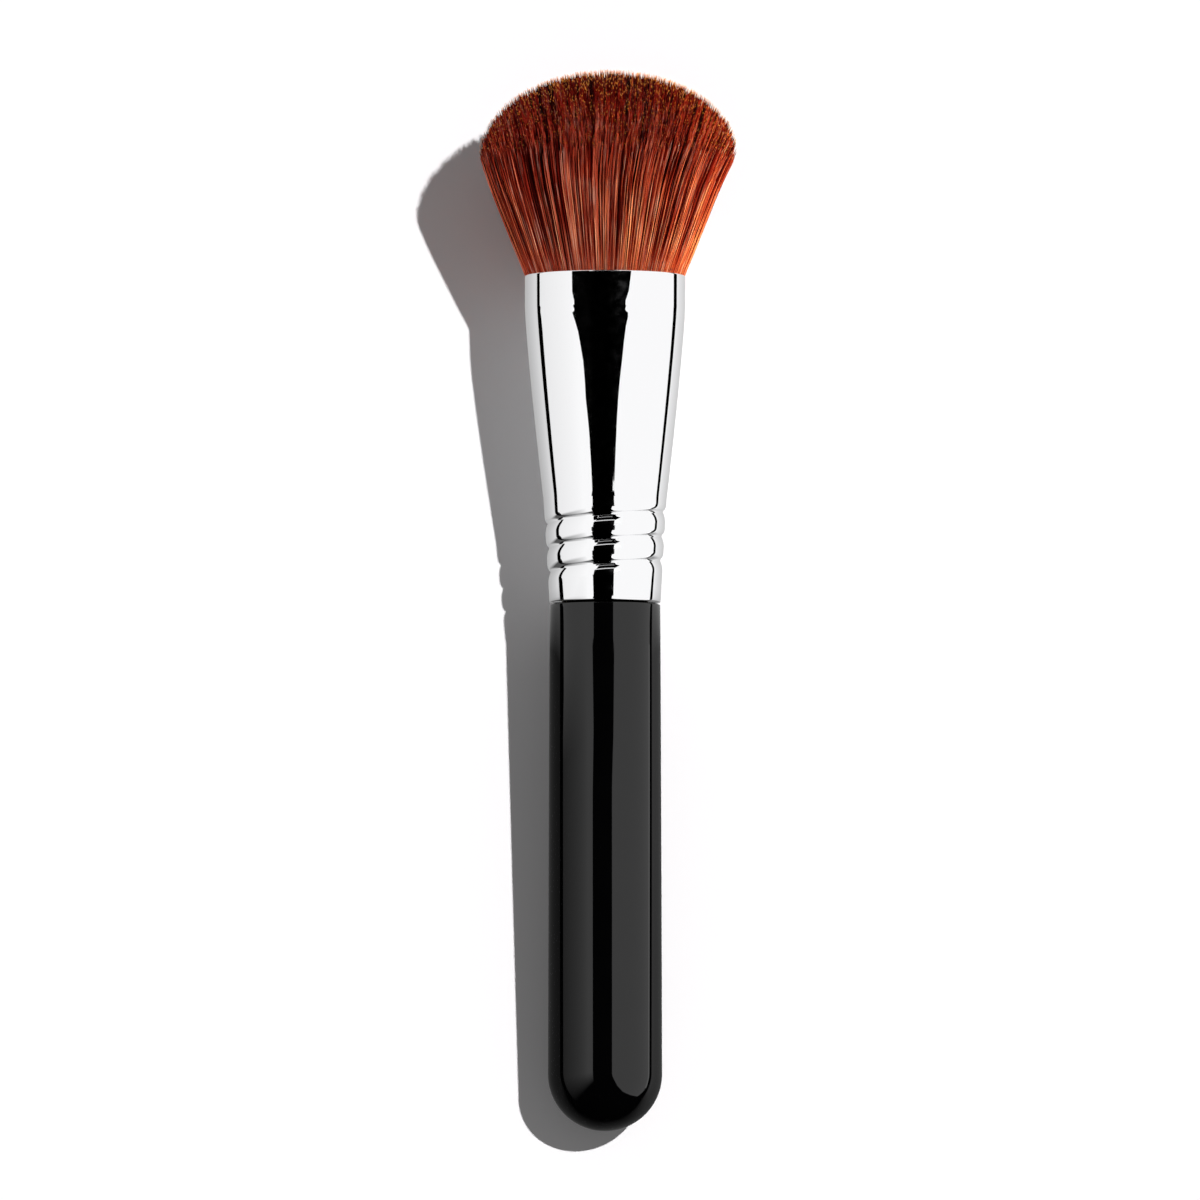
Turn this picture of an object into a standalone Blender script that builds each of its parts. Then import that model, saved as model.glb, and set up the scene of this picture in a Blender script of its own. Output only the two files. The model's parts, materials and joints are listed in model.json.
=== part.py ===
"""A flared makeup brush: domed hair in a crimped metal ferrule on a short turned handle.

Units are metres, with +Z up. Each piece is modelled along a local Z axis, with the ferrule's mouth
at zero, the hair above it and the handle below it; a depth is a distance below the mouth. An empty
then lays the brush down with its head towards +Y, so that it rests on its widest ring of hair and
on the heel of its handle. The origin is under the middle of the bounding box. The local +Y side is
the side that faces down.
"""

import math
import random

import bmesh
import bpy
from mathutils import Vector
from mathutils.geometry import delaunay_2d_cdt

# Fits
CLEARANCE = 0.0003  # between neighbouring pieces
WELD_DISTANCE = 0.000001  # under this, two points of a turned shape are one
SEGMENTS = 40  # facets round every turned piece

# Ferrule: a thin tube that tapers from its mouth to the handle
WALL = 0.0004
MOUTH_RADIUS = 0.01153
BAND_LENGTH = 0.0049  # the straight band under the mouth
TAPER_LENGTH = 0.02745  # from the band to the crimp
TAPER_POWER = 1.19  # the taper steepens a little on its way down
CRIMP_START_RADIUS = 0.00885
COLLAR_LENGTH = 0.00184  # from the crimp to the handle
JOINT_RADIUS = 0.00798
TAPER_ROWS = 5

# Crimp: one spiral groove pressed into the ferrule, right-handed, fading out at the back
CRIMP_PITCH = 0.00347
CRIMP_TURNS = 2.0  # from the first groove at the front to the last
CRIMP_RUN_OUT = 0.3  # turns that it keeps its depth before the first and after the last
CRIMP_FADE = 0.2  # turns in which it then fades
GROOVE_DEPTH = 0.0004
GROOVE_RISE = 0.001  # width of the groove's side towards the hair
GROOVE_FALL = 0.0016  # width of its side towards the handle
CRIMP_ROWS = 20

# Hair: three-sided strands that spread from a packed root and end on a dome
HEAD_RADIUS = 0.01816  # at the shoulder
SHOULDER_HEIGHT = 0.0179
DOME_HEIGHT = 0.0113
HAIR_BASE_DEPTH = 0.0008  # where the strands leave the packed root
STRAND_RINGS = 11
STRANDS_PER_RING = 6  # each ring has this many more than the ring inside it
STRAND_SHARE = 0.46  # a strand's corner radius, over the step between rings
TIP_SHARE = 0.35  # a tip's size, over the strand's
TIP_DRAW_SHARE = 0.164  # how far the tips draw in over the dome's height, over their radius
UNEVEN_SHARE = 0.05  # the most that a tip falls short of the dome
SEED = 7

# Packed root of the hair, with a waist for the thread that ties it
BINDING_DEPTH = 0.0135  # of the thread's first turn
THREAD_RADIUS = 0.00025
THREAD_PITCH = 0.001
THREAD_TURNS = 4
POINTS_PER_TURN = 24
WAIST_SLOPE = 0.0006
BUTT_LENGTH = 0.00135  # from the waist to the root's end

# Glue and tenon; the resin plug fills what is left between the root and the tenon
TENON_LENGTH = 0.0186  # inside the ferrule
TENON_CHAMFER = 0.0005
GLUE_THICKNESS = 0.0004  # at the tightest place
GLUE_RECESS = 0.0006  # how far the glue stops short of the ferrule's end

# Handle
HANDLE_LENGTH = 0.076  # from the ferrule to the round end
HANDLE_RADIUS = 0.0082
NECK_RADIUS = 0.00795
NECK_CHAMFER = 0.0002
SWELL_SHARE = 0.5  # how far along the grip it has reached its middle width
SWELL_RADIUS = 0.0081
END_ROWS = 6


def crimp_start():
    """The depth at which the taper ends and the crimp starts."""
    return BAND_LENGTH + TAPER_LENGTH


def crimp_front_depth():
    """The depth of the first groove, on the side that faces up."""
    return crimp_start() + GROOVE_RISE + (CRIMP_RUN_OUT + CRIMP_FADE) * CRIMP_PITCH


def crimp_end():
    """The greatest depth that the crimp reaches."""
    turns = CRIMP_TURNS + CRIMP_RUN_OUT + CRIMP_FADE
    return crimp_front_depth() + turns * CRIMP_PITCH + GROOVE_FALL


def ferrule_length():
    """The ferrule's length, from its mouth to the handle."""
    return crimp_end() + COLLAR_LENGTH


def ferrule_radius(depth):
    """The ferrule's outer radius before it is crimped."""
    if depth <= BAND_LENGTH:
        return MOUTH_RADIUS
    if depth <= crimp_start():
        along = (depth - BAND_LENGTH) / TAPER_LENGTH
        return MOUTH_RADIUS - (MOUTH_RADIUS - CRIMP_START_RADIUS) * along**TAPER_POWER
    along = (depth - crimp_start()) / (ferrule_length() - crimp_start())
    return CRIMP_START_RADIUS + (JOINT_RADIUS - CRIMP_START_RADIUS) * along


def fit_radius(depth):
    """The largest radius that fits inside the ferrule before it is crimped."""
    return ferrule_radius(depth) - WALL - CLEARANCE


def crimp_strength(turn):
    """One along the spiral groove's main run, falling to zero at its ends."""
    beyond = max(-turn, turn - CRIMP_TURNS) - CRIMP_RUN_OUT
    return 1 - min(max(beyond / CRIMP_FADE, 0), 1)


def crimp_inset(angle, depth):
    """How far the wall is pressed in, at an angle from the front that grows to the right."""
    inset = 0
    for turn in range(-1, math.ceil(CRIMP_TURNS) + 2):
        along = turn - angle / math.tau
        off = depth - crimp_front_depth() - along * CRIMP_PITCH
        width = GROOVE_FALL if off > 0 else GROOVE_RISE
        side = max(1 - abs(off) / width, 0)
        inset = max(inset, GROOVE_DEPTH * crimp_strength(along) * side**1.5)
    return inset


def tenon_radius():
    """The tenon leaves room for the glue at the ferrule's tightest place."""
    return fit_radius(ferrule_length()) - GROOVE_DEPTH - GLUE_THICKNESS - CLEARANCE


def spread(first, last, steps):
    """Evenly spaced values from first to last."""
    return [first + (last - first) * step / steps for step in range(steps + 1)]


def material(name, colour, roughness, metallic=0.0):
    """A plain Principled material."""
    made = bpy.data.materials.new(name)
    made.use_nodes = True
    shader = made.node_tree.nodes["Principled BSDF"]
    shader.inputs["Base Color"].default_value = (*colour, 1)
    shader.inputs["Roughness"].default_value = roughness
    shader.inputs["Metallic"].default_value = metallic
    return made


def add_object(name, data, finish, rig):
    """Links a piece under the empty that lays the brush down."""
    data.materials.append(finish)
    piece = bpy.data.objects.new(name, data)
    piece.parent = rig
    bpy.context.collection.objects.link(piece)
    return piece


def add_solid(name, form, finish, rig):
    """Turns a finished bmesh into a named object, smooth but for its corners."""
    bmesh.ops.recalc_face_normals(form, faces=form.faces)
    mesh = bpy.data.meshes.new(name)
    form.to_mesh(mesh)
    form.free()
    mesh.shade_smooth()
    mesh.set_sharp_from_angle(angle=math.radians(30))
    return add_object(name, mesh, finish, rig)


def turned(outline, hollow=False):
    """Turns an outline of (radius, depth) points about the axis, with a facet facing down.

    The outline runs from the axis to the axis, or closes on itself if the piece is hollow.
    """
    form = bmesh.new()
    start = math.pi / SEGMENTS
    points = []
    for radius, depth in outline:
        points.append(form.verts.new((radius * math.cos(start), radius * math.sin(start), -depth)))
    pairs = list(zip(points, points[1:]))
    if hollow:
        pairs.append((points[-1], points[0]))
    edges = [form.edges.new(pair) for pair in pairs]
    bmesh.ops.spin(
        form,
        geom=points + edges,
        axis=(0, 0, 1),
        cent=(0, 0, 0),
        angle=math.tau,
        steps=SEGMENTS,
        use_merge=True,
    )
    bmesh.ops.remove_doubles(form, verts=form.verts, dist=WELD_DISTANCE)
    return form


def make_ferrule(rig):
    """A tapered tube with the spiral crimp pressed into both its faces."""
    depths = [0]
    depths += spread(BAND_LENGTH, crimp_start(), TAPER_ROWS)
    depths += spread(crimp_start(), crimp_end(), CRIMP_ROWS)[1:]
    depths.append(ferrule_length())
    outer = [(ferrule_radius(depth), depth) for depth in depths]
    inner = [(radius - WALL, depth) for radius, depth in reversed(outer)]
    form = turned(outer + inner, hollow=True)
    for corner in form.verts:
        x, y, z = corner.co
        radius = math.hypot(x, y)
        share = (radius - crimp_inset(math.atan2(x, -y), -z)) / radius
        corner.co = (x * share, y * share, z)
    finish = material("ferrule", (0.8, 0.8, 0.81), 0.06, 1.0)
    return add_solid("ferrule", form, finish, rig)


def strand_corners():
    """The strands' corners in rings, three to a strand, with the outermost at radius one."""
    strands = []
    for ring in range(STRAND_RINGS + 1):
        count = max(STRANDS_PER_RING * ring, 1)
        stagger = 0.5 * ((STRAND_RINGS - ring) % 2)
        for index in range(count):
            angle = math.pi / 2 + math.tau * (index + stagger) / count
            centre = ring * Vector((math.cos(angle), math.sin(angle)))
            corners = []
            for turn in (math.pi / 3, math.pi, -math.pi / 3):
                side = Vector((math.cos(angle + turn), math.sin(angle + turn)))
                corners.append(centre + STRAND_SHARE * side)
            strands.append(corners)
    reach = max(corner.length for corners in strands for corner in corners)
    return [[corner / reach for corner in corners] for corners in strands]


def flat_share(strands):
    """How far out the outermost strands' flat backs lie, over the radius of their corners."""
    outer, _, other = strands[-1]
    return (outer + other).length / 2


def tip_rise(share):
    """How far above the shoulder a strand at this share of the head's radius ends on the dome."""
    draw = TIP_DRAW_SHARE * share * share
    spread_out = 1 + draw * TIP_DRAW_SHARE
    inside = draw * draw - spread_out * (share * share - 1)
    return DOME_HEIGHT * (draw + math.sqrt(inside)) / spread_out


def packed_radius():
    """The radius of the strands' bundle where it leaves the root, so that it clears the mouth."""
    along = HAIR_BASE_DEPTH / (HAIR_BASE_DEPTH + SHOULDER_HEIGHT)
    opening = (MOUTH_RADIUS - WALL) * math.cos(math.pi / SEGMENTS) - CLEARANCE
    return (opening - HEAD_RADIUS * along) / (1 - along)


def root_depth():
    """The depth at which the packed root ends."""
    return binding_end() + CLEARANCE + WAIST_SLOPE + BUTT_LENGTH


def root_outline():
    """The packed root's (radius, depth) points, from its top down past the waist to its end."""
    end = binding_end() + CLEARANCE
    start = BINDING_DEPTH - THREAD_RADIUS - CLEARANCE
    waist = thread_centre_radius() - THREAD_RADIUS - CLEARANCE
    return [
        (fit_radius(HAIR_BASE_DEPTH), HAIR_BASE_DEPTH),
        (fit_radius(BAND_LENGTH), BAND_LENGTH),
        (fit_radius(start - WAIST_SLOPE), start - WAIST_SLOPE),
        (waist, start),
        (waist, end),
        (fit_radius(root_depth()), end + WAIST_SLOPE),
        (fit_radius(root_depth()), root_depth()),
    ]


def make_tuft(rig, strands):
    """The hair: a packed root, and strands that spread to the shoulder and end on the dome."""
    packed = packed_radius()
    outline = root_outline()
    rim = []
    for index in range(SEGMENTS):
        angle = math.tau * (index + 0.5) / SEGMENTS
        rim.append(Vector((math.cos(angle), math.sin(angle))))
    points = [outline[0][0] / packed * corner for corner in rim]
    faces = [list(range(SEGMENTS))]
    for corners in strands:
        faces.append([len(points), len(points) + 1, len(points) + 2])
        points.extend(corners)
    flat, _, triangles, sources, _, owners = delaunay_2d_cdt(points, [], faces, 1, 0.00001)

    form = bmesh.new()
    top = [form.verts.new((*(packed * point), -HAIR_BASE_DEPTH)) for point in flat]
    place = {source: top[index] for index, found in enumerate(sources) for source in found}
    for triangle, owner in zip(triangles, owners):
        if max(owner) == 0:
            form.faces.new([top[index] for index in triangle])

    ring = [place[index] for index in range(SEGMENTS)]
    for radius, depth in outline[1:]:
        lower = [form.verts.new((*(radius * corner), -depth)) for corner in rim]
        join_rings(form, ring, lower)
        ring = lower
    form.faces.new(ring)

    uneven = random.Random(SEED)
    for number, corners in enumerate(strands):
        centre = sum(corners, Vector((0, 0))) / len(corners)
        rise = tip_rise(centre.length) * (1 - UNEVEN_SHARE * uneven.random())
        drawn = 1 - TIP_DRAW_SHARE * rise / DOME_HEIGHT
        ends = [centre + TIP_SHARE * (corner - centre) for corner in corners]
        base = [place[source] for source in faces[number + 1]]
        shoulder = [form.verts.new((*(HEAD_RADIUS * corner), SHOULDER_HEIGHT)) for corner in corners]
        height = SHOULDER_HEIGHT + rise
        tip = [form.verts.new((*(HEAD_RADIUS * drawn * corner), height)) for corner in ends]
        join_rings(form, base, shoulder)
        join_rings(form, shoulder, tip)
        form.faces.new(tip)
    return add_solid("bristle_tuft", form, material("hair", (0.16, 0.035, 0.017), 0.55), rig)


def join_rings(form, first, second):
    """Closes the side between two rings of as many corners."""
    for index in range(len(first)):
        form.faces.new((first[index - 1], first[index], second[index], second[index - 1]))


def thread_centre_radius():
    """The binding's radius at its thread's centre line, where it clears the ferrule."""
    return fit_radius(binding_end()) - THREAD_RADIUS


def binding_end():
    """The greatest depth that the binding reaches."""
    return BINDING_DEPTH + THREAD_TURNS * THREAD_PITCH + THREAD_RADIUS


def make_thread(rig):
    """The thread wound round the root's waist, as one unbroken tube."""
    points = []
    for index in range(THREAD_TURNS * POINTS_PER_TURN + 1):
        turn = index / POINTS_PER_TURN
        sideways = Vector((math.cos(math.tau * turn), math.sin(math.tau * turn)))
        depth = BINDING_DEPTH + THREAD_PITCH * turn
        points.append(Vector((*(thread_centre_radius() * sideways), -depth)))
    curve = bpy.data.curves.new("binding_thread", "CURVE")
    curve.dimensions = "3D"
    curve.bevel_depth = THREAD_RADIUS
    curve.bevel_resolution = 1
    curve.use_fill_caps = True
    spline = curve.splines.new("POLY")
    spline.points.add(len(points) - 1)
    for target, point in zip(spline.points, points):
        target.co = (*point, 1)
    gap = least_gap(points) - 2 * THREAD_RADIUS
    print(f"binding thread: least gap between its turns {gap:.5f} m")
    return add_object("binding_thread", curve, material("thread", (0.75, 0.72, 0.66), 0.8), rig)


def least_gap(points):
    """The least distance between points of a winding that are over half a turn apart."""
    apart = POINTS_PER_TURN // 2
    gaps = []
    for index, point in enumerate(points):
        gaps += [(point - other).length for other in points[index + apart :]]
    return min(gaps)


def make_resin(rig):
    """The resin that pots the butts of the hair, between the root and the tenon."""
    top = root_depth() + CLEARANCE
    end = tenon_top() - CLEARANCE
    outline = [(0, top), (fit_radius(top), top), (fit_radius(end), end), (0, end)]
    return add_solid("epoxy_plug", turned(outline), material("resin", (0.5, 0.3, 0.1), 0.2), rig)


def tenon_top():
    """The depth of the tenon's top."""
    return ferrule_length() - TENON_LENGTH


def make_glue(rig):
    """The sleeve of glue that fills the ferrule round the tenon, narrower along the crimp."""
    end = ferrule_length() - GLUE_RECESS
    outer = [
        (fit_radius(tenon_top()), tenon_top()),
        (fit_radius(crimp_start()) - GROOVE_DEPTH, crimp_start()),
        (fit_radius(end) - GROOVE_DEPTH, end),
    ]
    inner_radius = tenon_radius() + CLEARANCE
    inner = [(inner_radius, end), (inner_radius, tenon_top())]
    finish = material("glue", (0.62, 0.5, 0.28), 0.35)
    return add_solid("handle_adhesive", turned(outer + inner, hollow=True), finish, rig)


def make_handle(rig):
    """The turned handle: its tenon, a grip that swells slightly, and a round end."""
    tenon = tenon_radius()
    shoulder = ferrule_length() + CLEARANCE
    heel = heel_depth()
    swell = shoulder + SWELL_SHARE * (heel - shoulder)
    outline = [
        (0, tenon_top()),
        (tenon - TENON_CHAMFER, tenon_top()),
        (tenon, tenon_top() + TENON_CHAMFER),
        (tenon, shoulder),
        (NECK_RADIUS - NECK_CHAMFER, shoulder),
        (NECK_RADIUS, shoulder + NECK_CHAMFER),
        (SWELL_RADIUS, swell),
    ]
    for angle in spread(0, math.pi / 2, END_ROWS):
        outline.append((HANDLE_RADIUS * math.cos(angle), heel + HANDLE_RADIUS * math.sin(angle)))
    finish = material("handle", (0.012, 0.012, 0.013), 0.08)
    return add_solid("handle", turned(outline), finish, rig)


def heel_depth():
    """The depth at which the handle starts to round off, where it touches what it lies on."""
    return ferrule_length() + HANDLE_LENGTH - HANDLE_RADIUS


def lay_down(rig, strands, handle, tuft):
    """Rests the widest ring of hair and the handle's heel on the plane below, and centres it."""
    head = HEAD_RADIUS * flat_share(strands)
    heel = HANDLE_RADIUS * math.cos(math.pi / SEGMENTS)
    tilt = math.atan2(head - heel, SHOULDER_HEIGHT + heel_depth())
    rig.rotation_euler = (tilt - math.pi / 2, 0, 0)
    height = head * math.cos(tilt) - SHOULDER_HEIGHT * math.sin(tilt)
    rig.location = (0, 0, height)
    bpy.context.view_layer.update()
    reach = []
    for piece in (handle, tuft):
        reach += [(piece.matrix_world @ corner.co).y for corner in piece.data.vertices]
    rig.location = (0, -(min(reach) + max(reach)) / 2, height)


def main():
    for old in list(bpy.data.objects):
        bpy.data.objects.remove(old, do_unlink=True)
    rig = bpy.data.objects.new("brush_rig", None)
    bpy.context.collection.objects.link(rig)
    strands = strand_corners()
    make_ferrule(rig)
    tuft = make_tuft(rig, strands)
    make_thread(rig)
    make_resin(rig)
    make_glue(rig)
    handle = make_handle(rig)
    lay_down(rig, strands, handle, tuft)


main()
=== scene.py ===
"""The looks of a makeup brush: dark red flared hair, a chromed crimped ferrule and a black handle.

Units are metres, with +Z up. Each piece is modelled in the brush's own frame, as the CAD model is.
Its Z axis runs from the handle up through the hair, with the ferrule's mouth at zero. A depth is a
distance below the mouth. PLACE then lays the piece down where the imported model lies.
"""

import json
import math

import bmesh
import bpy
import numpy as np
from mathutils import Matrix, Vector

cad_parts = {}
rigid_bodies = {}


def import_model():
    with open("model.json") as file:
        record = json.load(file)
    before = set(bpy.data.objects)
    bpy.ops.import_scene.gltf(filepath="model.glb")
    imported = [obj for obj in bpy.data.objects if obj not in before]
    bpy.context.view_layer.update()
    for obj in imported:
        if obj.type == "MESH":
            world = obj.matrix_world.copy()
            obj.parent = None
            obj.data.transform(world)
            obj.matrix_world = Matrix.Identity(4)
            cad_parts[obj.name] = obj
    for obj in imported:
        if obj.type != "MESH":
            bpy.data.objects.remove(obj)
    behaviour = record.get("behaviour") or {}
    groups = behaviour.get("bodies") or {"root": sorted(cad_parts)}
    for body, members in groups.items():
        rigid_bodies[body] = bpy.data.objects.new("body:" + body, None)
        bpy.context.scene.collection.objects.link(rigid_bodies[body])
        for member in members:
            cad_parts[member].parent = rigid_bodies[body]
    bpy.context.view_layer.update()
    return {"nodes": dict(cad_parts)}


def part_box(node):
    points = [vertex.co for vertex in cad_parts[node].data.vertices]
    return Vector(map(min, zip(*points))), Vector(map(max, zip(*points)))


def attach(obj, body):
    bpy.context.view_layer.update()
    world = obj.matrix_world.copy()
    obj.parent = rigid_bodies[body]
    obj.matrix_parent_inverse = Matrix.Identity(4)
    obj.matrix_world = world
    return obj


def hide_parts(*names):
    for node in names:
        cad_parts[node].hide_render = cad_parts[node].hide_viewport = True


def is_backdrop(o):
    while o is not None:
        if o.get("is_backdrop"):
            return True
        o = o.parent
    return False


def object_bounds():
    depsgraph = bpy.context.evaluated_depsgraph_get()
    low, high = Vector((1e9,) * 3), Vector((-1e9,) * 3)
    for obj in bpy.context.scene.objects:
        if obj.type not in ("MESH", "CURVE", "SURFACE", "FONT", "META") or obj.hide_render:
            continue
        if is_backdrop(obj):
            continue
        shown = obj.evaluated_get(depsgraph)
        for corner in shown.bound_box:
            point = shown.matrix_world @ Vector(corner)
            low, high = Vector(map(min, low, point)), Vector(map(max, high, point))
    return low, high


MM = 0.001
SEED = 11

# Sizes of the CAD model
WALL = 0.4 * MM
CLEARANCE = 0.3 * MM
MOUTH_RADIUS = 11.53 * MM
BAND_LENGTH = 4.9 * MM
TAPER_LENGTH = 27.45 * MM
TAPER_POWER = 1.19
CRIMP_START_RADIUS = 8.85 * MM
COLLAR_LENGTH = 1.84 * MM
JOINT_RADIUS = 7.98 * MM
CRIMP_PITCH = 3.47 * MM
CRIMP_TURNS = 2.0
CRIMP_RUN_OUT = 0.3
CRIMP_FADE = 0.2
GROOVE_DEPTH = 0.4 * MM
GROOVE_RISE = 1.0 * MM
GROOVE_FALL = 1.6 * MM
HEAD_RADIUS = 18.16 * MM
SHOULDER_HEIGHT = 17.9 * MM
DOME_HEIGHT = 11.3 * MM
TENON_LENGTH = 18.6 * MM
TENON_RADIUS = 6.18 * MM
TENON_CHAMFER = 0.5 * MM
HANDLE_LENGTH = 76 * MM
HANDLE_RADIUS = 8.2 * MM
NECK_RADIUS = 7.95 * MM
CAD_FACETS = 40  # round the CAD model's turned pieces, which it rests on

CRIMP_START = BAND_LENGTH + TAPER_LENGTH
CRIMP_FRONT = CRIMP_START + GROOVE_RISE + (CRIMP_RUN_OUT + CRIMP_FADE) * CRIMP_PITCH
CRIMP_END = CRIMP_FRONT + (CRIMP_TURNS + CRIMP_RUN_OUT + CRIMP_FADE) * CRIMP_PITCH + GROOVE_FALL
FERRULE_LENGTH = CRIMP_END + COLLAR_LENGTH
HEEL_DEPTH = FERRULE_LENGTH + HANDLE_LENGTH - HANDLE_RADIUS

# Metal and lacquer, finer than the CAD model has them
COLUMNS = 160  # facets round the ferrule and the handle
CREASE_PLACE = BAND_LENGTH + 0.5 * MM  # where the band ends and the taper starts
CREASE_DEPTH = 0.014 * MM
CREASE_WIDTH = 0.8 * MM
LIP_PLACE = 0.36 * MM  # of the groove's sharp edge above its bottom, on the hair's side
LIP_SHARE = 0.8  # of the groove's depth, that it still has at the sharp edge
LIP_REACH = 1.3 * MM  # how far above its bottom the groove starts
FALL_POWER = 2.0  # how the groove's other side curves out
MOUTH_STEPS = 8  # on the rounding of the ferrule's mouth
END_ROUNDING = 0.18 * MM  # of the ferrule's lower edge
END_STEPS = 5
FIRST_RING = 0.55 * WALL  # the depth of the first ring below the mouth's rounding
PLAIN_RINGS = 4  # along the band and along the collar
CREASE_RINGS = 24
TAPER_RINGS = 30
CRIMP_RINGS = 400
BORE_RINGS = 120
NECK_ROUNDING = 0.12 * MM  # of the handle's upper edge
NECK_STEPS = 6
GRIP_CURVE = 0.4  # how much more than evenly the grip widens at its neck, and less at its end
GRIP_RINGS = 60
HEEL_STEPS = 48

# The bundle of hair
FLARE = 0.404  # how much the bundle's radius grows with its height
REACH = HEAD_RADIUS + 0.3 * MM  # half axes and middle of the surface that the tips end on
RISE = DOME_HEIGHT + 0.5 * MM
MIDDLE = SHOULDER_HEIGHT - 0.3 * MM
LEAN = 0.6 * MM  # of the head to the right
LEAN_START = 11 * MM
LEAN_HEIGHT = 11 * MM
TUCK = 0.5 * MM  # how far the hair pulls in to pass the mouth
TUCK_HEIGHT = 0.45 * MM
LOCKS = [  # how many go round, how far they pull hairs, how they drift upwards and inwards
    (19, 0.07 * MM, 1.2, 23.0),
    (37, 0.05 * MM, -1.7, 41.0),
    (61, 0.04 * MM, 2.3, 67.0),
    (103, 0.03 * MM, -2.9, 97.0),
    (171, 0.02 * MM, 3.7, 131.0),
]
LOCK_DENT = 0.35  # how far the hair sinks between locks, as a share of their pull
CORE_SHARE = 0.94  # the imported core's radius, as a share of the bundle's
CORE_START = -2 * MM
CORE_DROP = 1.8 * MM  # of the core's dome below the hair's
CORE_RIDGES = 0.018  # the depth of the core's ridges, as a share of its radius
CORE_ROWS = 90  # up the core's side, and over its dome
CORE_COLUMNS = 540

# Single hairs
HAIRS = 34000
SHELL_SHARE = 0.8  # hairs that end further out than this show along their whole length
SHELL_START = -1.2 * MM  # inside the ferrule
SHELL_STATIONS = 10
INNER_LENGTHS = (4.8 * MM, 7.2 * MM)  # of the hairs that start under the dome
INNER_STATIONS = 5
HAIR_RADII = (0.0465 * MM, 0.0775 * MM)
TIP_LENGTH = 0.7 * MM  # of a hair's last stretch
TIP_WIDTH = 0.28  # as a share of the hair's full width
THINNING = 3 * MM  # how far from the tip the hair starts to get thinner
THINNING_POWER = 0.6
UNEVEN = 0.35 * MM  # spread of the tips below their surface, and more of it towards the top
UNEVEN_TOP = 0.55 * MM
LONG_SHARE = 0.15  # hairs that end past the others, with pale tips that light shines through
LONG_REACH = 0.35 * MM
SHORTER = 0.25 * MM  # how much lower all the others end
FRAY_SHARE = 0.35  # hairs at the bundle's edge that end lower still
FRAY_START = 0.9  # how far out in the bundle they start
FRAY_DROP = 5 * MM
STRAY = 0.03 * MM  # how far hairs lie off their places at the shoulder's height
STRAY_FAR = 0.2 * MM
STRAY_SHARE = 0.125  # hairs that lie that far off
STRAY_MOST = 1.4  # times as far, at most, above the shoulder
WAVE_LENGTHS = (7 * MM, 13 * MM)
WAVE_REACH = 0.12 * MM
CURL = 0.05 * MM  # how far hairs stray near their tips
CURL_LENGTH = 2.5 * MM

# The hair's UV map, which has the place round the bundle by the height
UV_MAP = "OFBake"
UV_START = -3 * MM  # the height at the bottom of the map, and how much height it spans
UV_SPAN = 38 * MM
UV_ROOT = -UV_START / UV_SPAN
UV_HALF_WIDTH = 0.0002  # of a hair
UV_SPREAD = 0.0003  # of hairs that lie in one line

# The hair's colour. Greys are the stretch of a noise's values that counts, grains how many of its
# grains the UV map is wide and high
HAIR_ROUGHNESS = 0.28
HAIR_IOR = 1.8
# The hair's red by height in metres, darker upwards; the steep darkening over the dome is painted
# shade among the crowded tips
HAIR_REDS_WITH_DOME_SHADE = [(0, 0.42), (8 * MM, 0.36), (14 * MM, 0.31), (20 * MM, 0.22), (28 * MM, 0.055)]
RED_MOST = 0.95
GREEN = (0.36, 2.1)  # a factor and a power that make green, and blue, of the red
BLUE = (0.19, 2.15)
RUST = (1.3, 0.6)  # factors of green and blue at the root, and from the next height up
RUST_END = 0.75
CELLS = 720  # groups of neighbouring hairs round the bundle
CELL_SHARE = 0.85  # hairs that take the tone of their group
TONES = {  # how much lighter or darker than the middle each tone is
    "hair_black_cherry": 0.05,
    "hair_mahogany": 0.15,
    "hair_chestnut": 0.4,
    "hair_russet": 0.8,
    "hair_auburn": 1.15,
    "hair_rust": 1.5,
    "hair_copper": 1.85,
    "hair_ginger": 2.2,
}
STREAK_GRAINS = (450, 4)
STREAK_GREYS = (0.33, 0.67)
STREAK_GAINS = (0.6, 1.4)
STREAK_ROUGHNESS = 0.6
GAP_SHADE_GRAINS = (280, 3)  # of the painted shade: dark lines between strands
GAP_SHADE_GREYS = (0.38, 0.46)
GAP_SHADE_DEPTH = 0.42
CALM_SHARE = 0.25  # of the difference between hairs, that is left at the root
CALM_HEIGHT = 0.11
GLINT_GRAINS = (520, 7)
GLINT_GREYS = (0.55, 0.68)
GLINT_REDS = (0.05, 0.4)  # glints only show on hairs that aren't too dark
GLINT_HEIGHTS = (0.5, 0.85)  # between these heights on the UV map glints fade
GLINT_LEFT = 0.15  # of them, above
GLINT_COLOUR = (0.75, 0.4, 0.28, 1)
GLINT_PALE = 0.4  # how much of that colour they have, a painted highlight beside their real gloss
GLINT_GLOSS = (0.02, 0.8)  # the specular level outside and inside them
TIP_COLOUR = (0.95, 0.24, 0.03, 1)
TIP_START = 0.9  # where the long hairs' tips start on the UV map
TIP_SCATTER = (1, 0.9, 0.8)
TIP_SCATTER_SCALE = 0.1 * MM

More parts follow.
